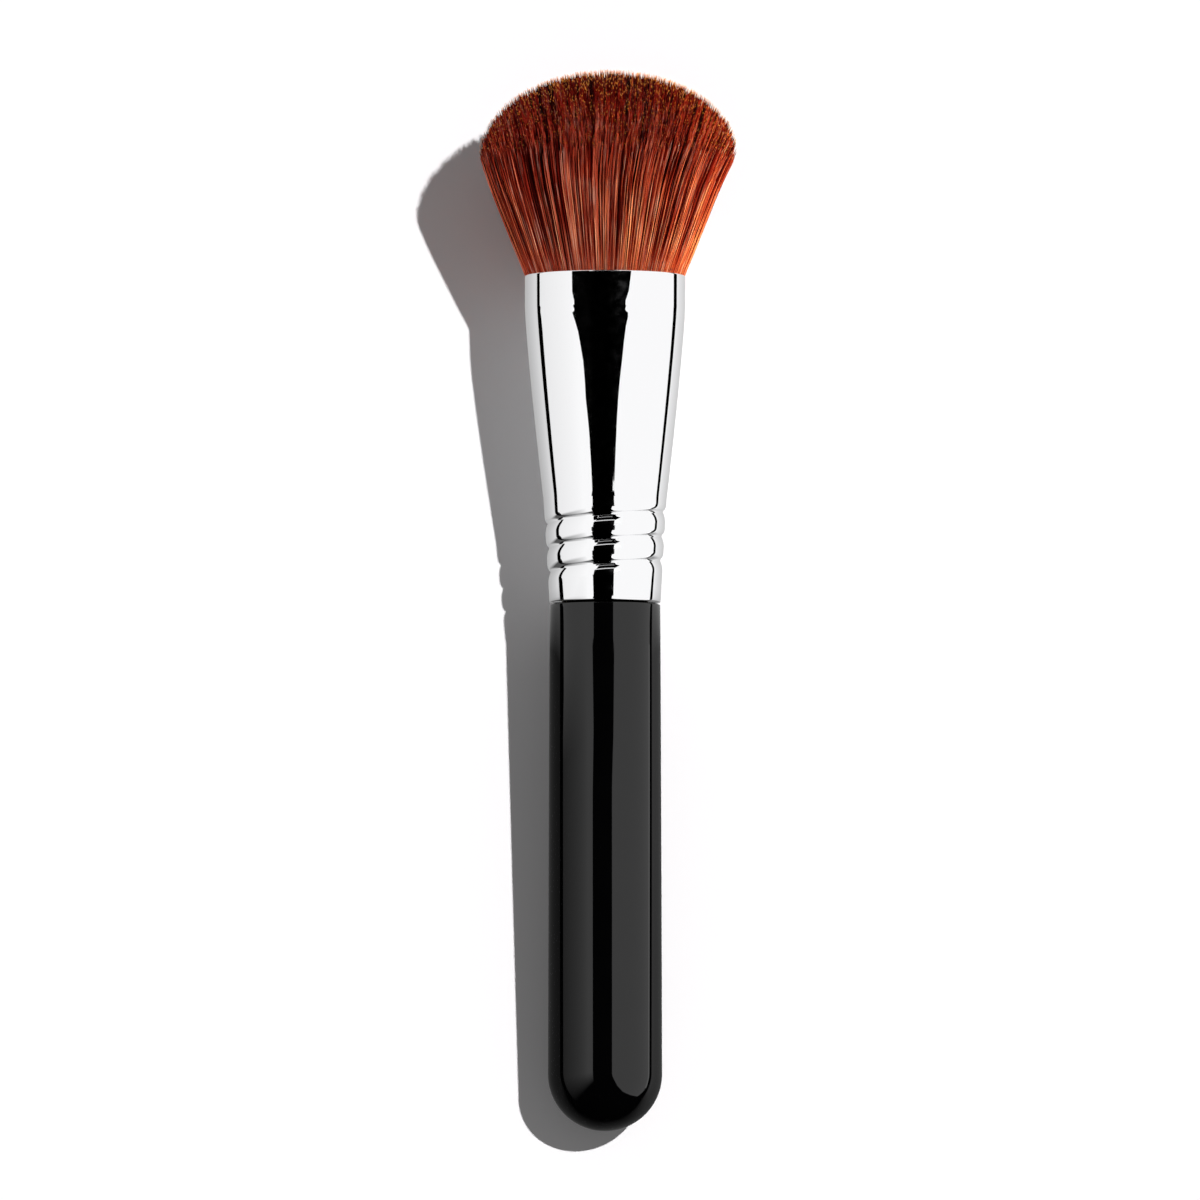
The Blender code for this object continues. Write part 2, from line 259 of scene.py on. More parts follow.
# View and light
CAMERA_ELEVATION = math.radians(82.2)
CAMERA_DISTANCE = 3.0
VIEW_WIDTH = 172.4 * MM
AIM = Vector((-0.72, -0.245, 16.5)) * MM
SENSOR_WIDTH = 36.0  # in millimetres, as the lens is
SUN_TRAVEL = Vector((-0.42, -0.22, -1.0))
SUN_STRENGTH = 3.15
SUN_ANGLE = math.radians(0.9)
FILL_SIZE = 150 * MM
FILLS = {  # power in watts, colour and place of the soft lights on the hair
    "fill_right": (2.2, (1.0, 0.8, 0.15), Vector((330, 60, 90)) * MM),
    "fill_left": (0.8, (1.0, 0.55, 0.3), Vector((-330, 60, 60)) * MM),
}
AMBIENT = 0.155
HORIZON_GLOW = 0.25  # in gloss, past the hair's end
HORIZON_HEIGHT = 0.5  # where it has faded, as a sine
HORIZON_EDGE = 0.2  # how gradually it starts
FLOOR_COLOUR = (0.95, 0.935, 0.945, 1)
FLOOR_ROUGHNESS = 0.9
FLOOR_GLOW = 0.03
FLOOR_REACH = 4.0

# Boards and cards that show in the metal and the lacquer alone, in millimetres. Those that stand
# beside the brush have (y, z) points, and those that lie level have (x, y) points
LEFT_BOARD = -64
LEFT_TOP = [(-150, 155), (-30, 150), (-20, 162), (-12, 153), (-7, 147), (-6, 165), (60, 165)]
LEFT_TOP += [(100, 200), (300, 230)]
LEFT_BOTTOM = [(300, 5), (46, 5), (38, 8), (8, 8), (0, 12.5), (-10, 12.5), (-16, 10), (-150, 10)]
RIGHT_BOARD = 50
RIGHT_END = [(-90, 7), (-103, 13), (-113, 33), (-124, 62), (-127, 105), (-118, 150), (-106, 190)]
RIGHT_TOP = [(-90, 210), (-30, 212), (-22, 178), (-8, 161), (-7, 182), (68, 182), (68.5, 106)]
RIGHT_TOP += [(85, 121), (110, 143), (300, 200)]
RIGHT_BOTTOM = [(300, 1.5), (5, 1.5), (0, 4.5), (-75, 4.5)]
BOARD_GLOW = 1.01
RIM = [(-3, 4.5), (-85, 4.5), (-85, 7), (-3, 7)]  # the right board's bright lower edge
RIM_PLACE = RIGHT_BOARD - 0.1
RIM_GLOW = 1.6
FOOT_HEIGHT = 0.5  # of the dark strips by the boards, and of the foot of the gaps under them
FOOT = [(-150, FOOT_HEIGHT), (300, FOOT_HEIGHT)]
LEFT_STRIP = [(LEFT_BOARD, -150), (LEFT_BOARD, 300), (-56, 300), (-56, 5), (-60, 0), (-60, -150)]
RIGHT_STRIP = [(RIGHT_BOARD, -150), (RIGHT_BOARD, 300), (38.5, 300), (38.5, 5)]
RIGHT_STRIP += [(43, -3), (43, -150)]
CARD_HEIGHT = 38
LEFT_CARD = [(-6.5, 19), (-9, 19), (-9.5, 21.5), (-10.4, 24.6), (-10.6, 27.7), (-11.1, 30.7)]
LEFT_CARD += [(-12.3, 33), (-13.6, 35.3), (-15.6, 37), (-17.6, 38.5), (-15.5, 39.8), (-15.5, 42)]
LEFT_CARD += [(-17, 43.4), (-17, 55), (-6.5, 55)]
RIGHT_CARD = [(4.5, 19), (6.2, 19), (6.4, 21.7), (6.7, 24.7), (7.3, 27.8), (8.2, 30.8), (8.9, 33.9)]
RIGHT_CARD += [(9.6, 36.2), (10.6, 37.7), (10.4, 38.6), (8.9, 39.6), (8.9, 41.7), (10.7, 43.3)]
RIGHT_CARD += [(12, 46.3), (12, 55), (4.5, 55)]
BAR_HEIGHT = 300
BAR_ENDS = (-140, 90)
BARS = [(112, 136, 0.75), (221, 235, 0.5)]  # their edges along the brush, and their glow


def lay_down():
    """The brush's frame, lying on its widest ring of hair and the heel of its handle."""
    heel = HANDLE_RADIUS * math.cos(math.pi / CAD_FACETS)
    tilt = math.atan2(HEAD_RADIUS - heel, SHOULDER_HEIGHT + HEEL_DEPTH)
    height = HEAD_RADIUS * math.cos(tilt) - SHOULDER_HEIGHT * math.sin(tilt)
    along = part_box("handle")[0].y + (HEEL_DEPTH + HANDLE_RADIUS) * math.cos(tilt)
    return Matrix.Translation((0, along, height)) @ Matrix.Rotation(tilt - math.pi / 2, 4, "X")


def add_piece(name, mesh, finish, node):
    """Links a finished mesh as a piece that stands for a CAD node."""
    mesh.transform(PLACE)
    mesh.materials.append(finish)
    piece = bpy.data.objects.new(name, mesh)
    bpy.context.scene.collection.objects.link(piece)
    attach(piece, "root")
    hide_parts(node)
    return piece


def add_node(tree, kind, inputs=None, **settings):
    """Adds a shader node. An input is a value, or the socket to link to it."""
    made = tree.nodes.new("ShaderNode" + kind)
    for name, value in settings.items():
        setattr(made, name, value)
    for name, value in (inputs or {}).items():
        if isinstance(value, bpy.types.NodeSocket):
            tree.links.new(value, made.inputs[name])
        else:
            made.inputs[name].default_value = value
    return made


def math_node(tree, operation, first, second=0.0):
    """The result of a Math node."""
    return add_node(tree, "Math", {0: first, 1: second}, operation=operation).outputs[0]


def new_material(name, **values):
    """A material with one Principled shader, its node tree and that shader."""
    made = bpy.data.materials.new(name)
    made.use_nodes = True
    tree = made.node_tree
    shader = tree.nodes["Principled BSDF"]
    for key, value in values.items():
        shader.inputs[key.replace("_", " ")].default_value = value
    return made, tree, shader


def map_range(tree, value, low, high, to_low, to_high):
    """A value carried from one range to another, and held inside it."""
    inputs = {"Value": value, "From Min": low, "From Max": high}
    inputs |= {"To Min": to_low, "To Max": to_high}
    return add_node(tree, "MapRange", inputs).outputs["Result"]


def mix_colour(tree, share, first, second):
    """One colour over another by a share."""
    mixer = add_node(tree, "Mix", {0: share, 6: first, 7: second}, data_type="RGBA")
    return mixer.outputs[2]


def object_place(tree, scale=(1, 1, 1)):
    """The place in the scene, scaled along its axes. The brush lies nearly along Y."""
    coordinates = add_node(tree, "TexCoord").outputs["Object"]
    return add_node(tree, "Mapping", {"Vector": coordinates, "Scale": scale}).outputs[0]


def noise_node(tree, vector, scale, detail=2.0, **more):
    """A noise texture's grey value."""
    inputs = {"Vector": vector, "Scale": scale, "Detail": detail, **more}
    return add_node(tree, "TexNoise", inputs).outputs["Fac"]


def spread(first, last, steps):
    """Evenly spaced values from first to last."""
    return [first + (last - first) * step / steps for step in range(steps + 1)]


def turned(name, outline, hollow=False):
    """A smooth mesh turned from an outline of (radius, depth) points."""
    form = bmesh.new()
    points = [form.verts.new((radius, 0, -depth)) for radius, depth in outline]
    pairs = list(zip(points, points[1:]))
    if hollow:
        pairs.append((points[-1], points[0]))
    edges = [form.edges.new(pair) for pair in pairs]
    bmesh.ops.spin(
        form,
        geom=points + edges,
        axis=(0, 0, 1),
        cent=(0, 0, 0),
        angle=math.tau,
        steps=COLUMNS,
        use_merge=True,
    )
    bmesh.ops.remove_doubles(form, verts=form.verts, dist=MM / 1000)
    bmesh.ops.recalc_face_normals(form, faces=form.faces)
    mesh = bpy.data.meshes.new(name)
    form.to_mesh(mesh)
    form.free()
    mesh.shade_smooth()
    return mesh


def arc(middle, radius, first, last, steps):
    """Points on an arc round a (radius, depth) point, by the angle from the outward direction."""
    points = []
    for angle in spread(first, last, steps):
        points.append((middle[0] + radius * math.cos(angle), middle[1] + radius * math.sin(angle)))
    return points


def ferrule_radius(depth):
    """The ferrule's outer radius before it is crimped."""
    if depth <= BAND_LENGTH:
        return MOUTH_RADIUS
    if depth <= CRIMP_START:
        along = (depth - BAND_LENGTH) / TAPER_LENGTH
        return MOUTH_RADIUS - (MOUTH_RADIUS - CRIMP_START_RADIUS) * along**TAPER_POWER
    along = (depth - CRIMP_START) / (FERRULE_LENGTH - CRIMP_START)
    return CRIMP_START_RADIUS + (JOINT_RADIUS - CRIMP_START_RADIUS) * along


def crimp_inset(angle, depth):
    """How far the spiral crimp presses the wall in, for arrays of angles and depths."""
    inset = np.zeros_like(angle)
    for turn in range(-1, math.ceil(CRIMP_TURNS) + 2):
        along = turn - angle / math.tau
        off = depth - CRIMP_FRONT - along * CRIMP_PITCH
        beyond = np.maximum(-along, along - CRIMP_TURNS) - CRIMP_RUN_OUT
        strength = 1 - np.clip(beyond / CRIMP_FADE, 0, 1)
        inset = np.maximum(inset, GROOVE_DEPTH * strength * groove(off))
    return inset


def groove(off):
    """The groove's depth as a share, by the distance below its bottom.

    The bead above it rounds over to a sharp edge; the bead below it rises away more slowly.
    """
    rounded = np.clip((off + LIP_REACH) / (LIP_REACH - LIP_PLACE), 0, 1)
    floor = 1 - (1 - LIP_SHARE) * np.clip(-off / LIP_PLACE, 0, 1) ** 2
    above = np.where(off < -LIP_PLACE, LIP_SHARE * (1 - np.sqrt(1 - rounded**2)), floor)
    below = np.clip(1 - off / GROOVE_FALL, 0, 1) ** FALL_POWER
    return np.where(off < 0, above, below)


def points_of(mesh):
    """A mesh's corners as an array of rows."""
    flat = np.empty(len(mesh.vertices) * 3)
    mesh.vertices.foreach_get("co", flat)
    return flat.reshape(-1, 3)


def make_ferrule():
    """The chromed tube: rounded mouth, band, crease, taper, crimp and collar."""
    end = FERRULE_LENGTH - END_ROUNDING
    depths = [WALL / 2] + spread(FIRST_RING, CREASE_PLACE - CREASE_WIDTH, PLAIN_RINGS)
    depths += spread(CREASE_PLACE - CREASE_WIDTH, CREASE_PLACE + CREASE_WIDTH, CREASE_RINGS)[1:]
    depths += spread(CREASE_PLACE + CREASE_WIDTH, CRIMP_START, TAPER_RINGS)[1:]
    depths += spread(CRIMP_START, CRIMP_END, CRIMP_RINGS)[1:]
    depths += spread(CRIMP_END, end, PLAIN_RINGS)[1:]
    outer = [(ferrule_radius(depth), depth) for depth in depths]
    edge_middle = (ferrule_radius(end) - END_ROUNDING, end)
    edge = arc(edge_middle, END_ROUNDING, 0, math.pi / 2, END_STEPS)[1:]
    bore_depths = reversed(spread(WALL / 2, end, BORE_RINGS))
    bore = [(ferrule_radius(depth) - WALL, depth) for depth in bore_depths]
    mouth_middle = (MOUTH_RADIUS - WALL / 2, WALL / 2)
    mouth = arc(mouth_middle, WALL / 2, -math.pi, 0, MOUTH_STEPS)[1:-1]
    mesh = turned("ferrule_chrome", outer + edge + bore + mouth, hollow=True)
    points = points_of(mesh)
    radius = np.hypot(points[:, 0], points[:, 1])
    depth = -points[:, 2]
    inset = crimp_inset(np.arctan2(points[:, 0], -points[:, 1]), depth)
    off = np.abs(depth - CREASE_PLACE) / CREASE_WIDTH
    inset += CREASE_DEPTH * np.where(off < 1, 0.5 + 0.5 * np.cos(math.pi * off), 0)
    points[:, :2] *= ((radius - inset) / radius)[:, None]
    mesh.vertices.foreach_set("co", points.ravel())
    add_piece("ferrule_chrome", mesh, chrome(), "ferrule")


def add_haze(tree, shader, place, scale, detail, greys, roughness):
    """Varies the roughness between two values with the greys of a noise."""
    haze = noise_node(tree, place, scale, detail)
    tree.links.new(map_range(tree, haze, *greys, *roughness), shader.inputs["Roughness"])


def add_ripple(tree, shader, place, scale, height, strength):
    """Makes the surface a little uneven."""
    ripple = noise_node(tree, place, scale, 1.0)
    bump = add_node(tree, "Bump", {"Height": ripple, "Distance": height, "Strength": strength})
    tree.links.new(bump.outputs[0], shader.inputs["Normal"])


def chrome():
    """Bright chrome with the faint haze and ripple of a polished stamping."""
    made, tree, shader = new_material(
        "chrome", Metallic=1.0, Base_Color=(0.94, 0.94, 0.95, 1), IOR=2.0
    )
    place = object_place(tree)
    add_haze(tree, shader, place, 900.0, 4.0, greys=(0.35, 0.75), roughness=(0.02, 0.06))
    add_ripple(tree, shader, place, 260.0, height=0.02 * MM, strength=0.25)
    return made


def handle_radius(share):
    """The grip's radius at a share of its length, through its middle width."""
    swell = (1 + GRIP_CURVE) * share - GRIP_CURVE * share * share
    return NECK_RADIUS + (HANDLE_RADIUS - NECK_RADIUS) * swell


def make_handle():
    """The lacquered handle: tenon, rounded neck, a slight swell and a half round end."""
    top = FERRULE_LENGTH - TENON_LENGTH
    shoulder = FERRULE_LENGTH + CLEARANCE
    outline = [(0, top), (TENON_RADIUS - TENON_CHAMFER, top), (TENON_RADIUS, top + TENON_CHAMFER)]
    outline += [(TENON_RADIUS, shoulder)]
    neck = (NECK_RADIUS - NECK_ROUNDING, shoulder + NECK_ROUNDING)
    outline += arc(neck, NECK_ROUNDING, -math.pi / 2, 0, NECK_STEPS)
    for share in spread(0.01, 0.99, GRIP_RINGS):
        depth = shoulder + share * (HEEL_DEPTH - shoulder)
        outline.append((handle_radius(share), depth))
    outline += arc((0, HEEL_DEPTH), HANDLE_RADIUS, 0, math.pi / 2, HEEL_STEPS)
    add_piece("handle_lacquer", turned("handle_lacquer", outline), lacquer(), "handle")


def lacquer():
    """Deep black gloss lacquer with a trace of orange peel."""
    made, tree, shader = new_material("black_lacquer", IOR=1.5)
    place = object_place(tree)
    cloud = noise_node(tree, place, 120.0)
    tint = mix_colour(tree, cloud, (0.0004, 0.0004, 0.0005, 1), (0.0012, 0.0012, 0.0013, 1))
    tree.links.new(tint, shader.inputs["Base Color"])
    add_haze(tree, shader, place, 700.0, 2.0, greys=(0.3, 0.7), roughness=(0.02, 0.05))
    add_ripple(tree, shader, place, 420.0, height=0.01 * MM, strength=0.2)
    return made


def bundle_radius(height):
    """The hair bundle's radius at an array of heights, before it is cut to a dome."""
    above = np.maximum(height, 0)
    return MOUTH_RADIUS + FLARE * above - TUCK * np.exp(-above / TUCK_HEIGHT)


def cut_height(share):
    """How high up hairs at a share of the bundle's radius meet the surface of the tips."""
    square = (share * FLARE / REACH) ** 2 + 1 / RISE**2
    half = share**2 * MOUTH_RADIUS * FLARE / REACH**2 - MIDDLE / RISE**2
    rest = (share * MOUTH_RADIUS / REACH) ** 2 + (MIDDLE / RISE) ** 2 - 1
    return (np.sqrt(np.maximum(half**2 - square * rest, 0)) - half) / square


def leaning(height):
    """How far the head leans to the right at a height."""
    lean = np.clip((height - LEAN_START) / LEAN_HEIGHT, 0, 1)
    return LEAN * lean * lean * (3 - 2 * lean)


def front_angle(share, angles):
    """Where on the outside hairs show that are in line with these, from the front or the back.

    Hairs in one line share their colour, so that streaks run on from the sides into the dome.
    """
    turn = np.arccos(share * np.cos(angles))
    return np.where(np.sin(angles) < 0, math.tau - turn, turn)


def between(draw, limits, count):
    """Random numbers between two limits."""
    low, high = limits
    return low + (high - low) * draw.random(count)


def hair_ends(draw, share, long, shell):
    """How high up hairs end. Some of the shell's outermost ones end well below the rest."""
    count = len(share)
    ends = cut_height(share)
    over = np.clip((ends - MIDDLE) / RISE, 0, 1)
    below = (UNEVEN + UNEVEN_TOP * over) * np.abs(draw.normal(size=count))
    ends = ends + np.where(long, LONG_REACH * draw.random(count), -SHORTER - below)
    if shell:
        outermost = np.clip((share - FRAY_START) / (1 - FRAY_START), 0, 1)
        short = (draw.random(count) < FRAY_SHARE) * outermost * ~long
        ends = ends - short * draw.random(count) ** 2 * FRAY_DROP
    return ends


def hair_lines(draw, share, angles, long, shell):
    """The middle lines of hairs as an array of (hair, station, axis).

    share holds how far out in the bundle each hair lies, angles where round the axis, and long
    which hairs end past the others. Shell hairs run from inside the ferrule; the others start a
    few millimetres under the dome.
    """
    count = len(share)
    ends = hair_ends(draw, share, long, shell)
    if shell:
        starts = np.full(count, SHELL_START)
    else:
        starts = ends - between(draw, INNER_LENGTHS, count)
    steps = np.linspace(0, 1, (SHELL_STATIONS if shell else INNER_STATIONS) - 1)
    height = starts[:, None] + (ends - TIP_LENGTH - starts)[:, None] * steps
    height = np.concatenate([height, ends[:, None]], 1)
    radius = share[:, None] * bundle_radius(height)
    above = np.clip(height / SHOULDER_HEIGHT, 0, STRAY_MOST)
    stray = np.where(draw.random(count) < STRAY_SHARE, STRAY_FAR, STRAY)
    sideways = (stray * draw.normal(size=count))[:, None] * above
    phase = draw.random(count)[:, None] * math.tau
    wave = between(draw, WAVE_LENGTHS, count)[:, None]
    reach = WAVE_REACH * draw.random(count)[:, None]
    sideways += reach * above * np.sin(math.tau * height / wave + phase)
    near = np.clip(1 - (ends[:, None] - height) / CURL_LENGTH, 0, 1) ** 2
    sideways += CURL * draw.normal(size=count)[:, None] * near
    radius = radius + CURL * np.abs(draw.normal(size=count))[:, None] * near
    turns = angles[:, None]
    for waves, pull, upwards, inwards in LOCKS:
        lock = waves * turns + upwards * height / SHOULDER_HEIGHT + inwards * share[:, None]
        sideways += pull * above * np.sin(lock)
        radius = radius - LOCK_DENT * pull * above * (1 - np.cos(lock))
    turns = turns + sideways / np.maximum(radius, MM)
    lean = leaning(height)
    return np.stack([radius * np.cos(turns) + lean, radius * np.sin(turns), height], axis=2)


def hair_mesh(name, lines, thickness, angles, across, long):
    """Closed three-sided hairs round their middle lines.

    The UV map has across by height, but for the tips of the long hairs, which all lie at the top.
    """
    hairs, stations = lines.shape[:2]
    along = np.gradient(lines, axis=1)
    along /= np.linalg.norm(along, axis=2, keepdims=True)
    outward = np.stack([np.cos(angles), np.sin(angles), np.zeros(hairs)], axis=1)[:, None]
    side = np.cross(along, outward)
    side /= np.linalg.norm(side, axis=2, keepdims=True)
    front = np.cross(side, along)
    left = np.linalg.norm(lines[:, -1:] - lines, axis=2)
    full = np.clip(left / THINNING, 0, 1) ** THINNING_POWER
    width = thickness[:, None] * (TIP_WIDTH + (1 - TIP_WIDTH) * full)
    corners = []
    for turn in (0, math.tau / 3, -math.tau / 3):
        corners.append(lines + width[..., None] * (math.cos(turn) * front + math.sin(turn) * side))
    points = np.stack(corners, axis=2).reshape(-1, 3)

    number = np.arange(hairs * stations * 3).reshape(hairs, stations, 3)
    here, there = number[:, :-1], number[:, 1:]
    here_next, there_next = np.roll(here, -1, 2), np.roll(there, -1, 2)
    faces = [
        np.stack([here, here_next, there_next], 3).reshape(-1, 3),
        np.stack([here, there_next, there], 3).reshape(-1, 3),
        number[:, 0, ::-1],
        number[:, -1],
    ]
    faces = np.concatenate(faces)
    mesh = bpy.data.meshes.new(name)
    mesh.from_pydata(points, [], faces)
    mesh.shade_smooth()

    wide = across[:, None, None] + np.array([-1, 0, 1]) * UV_HALF_WIDTH
    wide = np.broadcast_to(wide, (hairs, stations, 3))
    high = np.broadcast_to((lines[:, :, 2:] - UV_START) / UV_SPAN, (hairs, stations, 3)).copy()
    high[long, -1] = 1
    places = np.stack([wide, high], 3).reshape(-1, 2).clip(0, 1)
    layer = mesh.uv_layers.new(name=UV_MAP)
    layer.data.foreach_set("uv", places[faces.ravel()].ravel())
    return mesh


def strand_noise(tree, place, grains, roughness=0.5):
    """A noise drawn out along the hairs, by how many of its grains the UV map is wide and high."""
    drawn = add_node(tree, "Mapping", {"Vector": place, "Scale": (*grains, 1)}).outputs[0]
    return noise_node(tree, drawn, 1.0, 1.0, Roughness=roughness)


def dyed(tree, red, rust, factor, power):
    """The green or blue of a red that holds the dye and the painted shade: a factor of a power of
    that red, and of how rusty it is.
    """
    level = math_node(tree, "MULTIPLY", math_node(tree, "POWER", red, power), factor)
    return math_node(tree, "MULTIPLY", level, rust)


def hair_finish(name, gain):
    """Glossy dyed bristle: random streaks, rust at the root and pale tips, with painted shade in
    dark lines between strands and darker above, and painted pale glints.

    The green and blue follow powers of the red, so that dark hairs and the painted shade are the
    deeper red.
    """
    made, tree, shader = new_material(name, Roughness=HAIR_ROUGHNESS, IOR=HAIR_IOR)
    place = add_node(tree, "UVMap", uv_map=UV_MAP).outputs[0]
    height = add_node(tree, "SeparateXYZ", {"Vector": place}).outputs["Y"]
    ramp = add_node(tree, "ValToRGB", {"Fac": height})
    stops = ramp.color_ramp.elements
    for number, (distance, red) in enumerate(HAIR_REDS_WITH_DOME_SHADE):
        if number > 1:
            stops.new(0.99)
        stops[number].position = (distance - UV_START) / UV_SPAN
        stops[number].color = (red, red, red, 1)

    streak = strand_noise(tree, place, STREAK_GRAINS, STREAK_ROUGHNESS)
    dark, light = STREAK_GAINS
    share = map_range(tree, streak, *STREAK_GREYS, dark * gain - 1, light * gain - 1)
    # painted shade: dark lines where strands lie apart, taken off the red
    gap = strand_noise(tree, place, GAP_SHADE_GRAINS)
    gap = map_range(tree, gap, *GAP_SHADE_GREYS, GAP_SHADE_DEPTH * gain, 0.0)
    share = math_node(tree, "SUBTRACT", share, gap)
    calm = map_range(tree, height, UV_ROOT, UV_ROOT + CALM_HEIGHT, CALM_SHARE, 1.0)
    share = math_node(tree, "ADD", math_node(tree, "MULTIPLY", share, calm), 1.0)
    red = math_node(tree, "MULTIPLY", ramp.outputs[0], share)
    red = math_node(tree, "MINIMUM", red, RED_MOST)
    rust = map_range(tree, height, UV_ROOT, RUST_END, *RUST)
    channels = {
        "Red": red,
        "Green": dyed(tree, red, rust, *GREEN),
        "Blue": dyed(tree, red, rust, *BLUE),
    }
    colour = add_node(tree, "CombineColor", channels).outputs[0]

    # painted highlight: pale glints mixed into the colour, with a higher specular level there
    glint = strand_noise(tree, place, GLINT_GRAINS)
    glint = map_range(tree, glint, *GLINT_GREYS, 0.0, 1.0)
    fade = map_range(tree, height, *GLINT_HEIGHTS, 1.0, GLINT_LEFT)
    glint = math_node(tree, "MULTIPLY", glint, fade)
    glint = math_node(tree, "MULTIPLY", glint, map_range(tree, red, *GLINT_REDS, 0.0, 1.0))
    colour = mix_colour(tree, math_node(tree, "MULTIPLY", glint, GLINT_PALE), colour, GLINT_COLOUR)
    gloss = map_range(tree, glint, 0.0, 1.0, *GLINT_GLOSS)
    tree.links.new(gloss, shader.inputs["Specular IOR Level"])

    tip = map_range(tree, height, TIP_START, 1.0, 0.0, 1.0)
    colour = mix_colour(tree, tip, colour, TIP_COLOUR)
    tree.links.new(colour, shader.inputs["Base Color"])
    tree.links.new(tip, shader.inputs["Subsurface Weight"])
    shader.inputs["Subsurface Radius"].default_value = TIP_SCATTER
    shader.inputs["Subsurface Scale"].default_value = TIP_SCATTER_SCALE
    return made


def make_hair():
    """All the hairs, in one piece to a tone, round a packed core painted dark as shade."""
    draw = np.random.default_rng(SEED)
    out = np.sqrt((np.arange(HAIRS) + 0.5) / HAIRS)
    angles = draw.random(HAIRS) * math.tau
    turns = front_angle(out, angles) / math.tau
    tone = draw.integers(0, len(TONES), HAIRS)
    tone_of_cell = draw.integers(0, len(TONES), CELLS)
    same = draw.random(HAIRS) < CELL_SHARE
    tone[same] = tone_of_cell[(turns[same] * CELLS).astype(int) % CELLS]
    across = turns + draw.normal(0, UV_SPREAD, HAIRS)
    long = draw.random(HAIRS) < LONG_SHARE
    for number, (name, gain) in enumerate(TONES.items()):
        meshes = []
        for shell in (True, False):
            chosen = (tone == number) & ((out > SHELL_SHARE) == shell)
            lines = hair_lines(draw, out[chosen], angles[chosen], long[chosen], shell)
            thickness = between(draw, HAIR_RADII, chosen.sum())
            made = hair_mesh(name, lines, thickness, angles[chosen], across[chosen], long[chosen])
            meshes.append(made)
        mesh = joined(name, meshes)
        add_piece(name, mesh, hair_finish(name, gain), "bristle_tuft")
    make_core(draw)


def joined(name, meshes):
    """One mesh of several."""
    form = bmesh.new()
    for mesh in meshes:
        form.from_mesh(mesh)
        bpy.data.meshes.remove(mesh)
    made = bpy.data.meshes.new(name)
    form.to_mesh(made)
    form.free()
    return made


def make_core(draw):
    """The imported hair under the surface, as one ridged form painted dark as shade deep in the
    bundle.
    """
    rim = SHOULDER_HEIGHT - CORE_DROP
    side = np.linspace(CORE_START, rim, CORE_ROWS)
    slope = np.linspace(0, math.pi / 2, CORE_ROWS)[1:-1]
    height = np.concatenate([side, rim + DOME_HEIGHT * np.sin(slope)])
    wide = np.minimum(bundle_radius(side), HEAD_RADIUS)
    radius = CORE_SHARE * np.concatenate([wide, HEAD_RADIUS * np.cos(slope)])
    angle = np.linspace(0, math.tau, CORE_COLUMNS, endpoint=False)
    reach = radius[:, None] * (1 - CORE_RIDGES * draw.random(CORE_COLUMNS))
    upright = np.broadcast_to(height[:, None], reach.shape)
    grid = [reach * np.cos(angle) + leaning(upright), reach * np.sin(angle), upright]
    points = np.stack(grid, 2).reshape(-1, 3)
    number = np.arange(len(points)).reshape(reach.shape)
    here, there = number[:-1], number[1:]
    faces = np.stack([here, np.roll(here, -1, 1), np.roll(there, -1, 1), there], 2).reshape(-1, 4)
    mesh = bpy.data.meshes.new("hair_core")
    mesh.from_pydata(points, [], faces.tolist() + [number[0, ::-1].tolist(), number[-1].tolist()])
    mesh.shade_smooth()
    add_piece("hair_core", mesh, packed_hair_painted_shade(), "bristle_tuft")


def packed_hair_painted_shade():
    """Hair deep in the bundle, with its shade painted on as a dark colour, and streaks along the
    brush.
    """
    made, tree, shader = new_material("packed_hair_painted_shade", Roughness=0.6)
    place = object_place(tree, (1, 0.08, 1))
    streak = map_range(tree, noise_node(tree, place, 1800.0, 3.0), 0.3, 0.7, 0.0, 1.0)
    colour = mix_colour(tree, streak, (0.02, 0.001, 0.001, 1), (0.08, 0.006, 0.003, 1))
    tree.links.new(colour, shader.inputs["Base Color"])
    return made


def dress_inner_nodes(nodes):
    """Materials for the CAD nodes that stay, all of them inside the ferrule."""
    finishes = {
        "binding_thread": ((0.62, 0.58, 0.5, 1), (0.8, 0.76, 0.68, 1), 0.8, 4000.0),
        "epoxy_plug": ((0.4, 0.22, 0.06, 1), (0.56, 0.34, 0.12, 1), 0.18, 500.0),
        "handle_adhesive": ((0.5, 0.4, 0.2, 1), (0.68, 0.56, 0.33, 1), 0.35, 900.0),
    }
    for name, (dark, light, roughness, scale) in finishes.items():
        made, tree, shader = new_material(name, Roughness=roughness)
        grain = noise_node(tree, object_place(tree), scale, 3.0)
        tree.links.new(mix_colour(tree, grain, dark, light), shader.inputs["Base Color"])
        nodes[name].data.materials.clear()
        nodes[name].data.materials.append(made)


def add_panel(name, corners, glow):
    """A flat board that only shows in gloss.

    Its glow is a number, or a function that adds nodes and gives their socket.
    """
    mesh = bpy.data.meshes.new(name)
    mesh.from_pydata([Vector(corner) * MM for corner in corners], [], [range(len(corners))])
    board = bpy.data.objects.new(name, mesh)
    bpy.context.scene.collection.objects.link(board)
    made = bpy.data.materials.new(name)
    made.use_nodes = True
    tree = made.node_tree
    tree.nodes.clear()
    if callable(glow):
        glow = glow(tree)
    light = add_node(tree, "Emission", {"Color": (1, 1, 1, 1), "Strength": glow})
    output = add_node(tree, "OutputMaterial")
    tree.links.new(light.outputs[0], output.inputs["Surface"])
    mesh.materials.append(made)
    board.visible_camera = False
    board.visible_diffuse = False
    board.visible_shadow = False
    board.visible_transmission = False
    board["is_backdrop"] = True


def place_parts(tree):
    """The coordinates of the place that is seen."""
    place = add_node(tree, "NewGeometry").outputs["Position"]
    return add_node(tree, "SeparateXYZ", {"Vector": place}).outputs


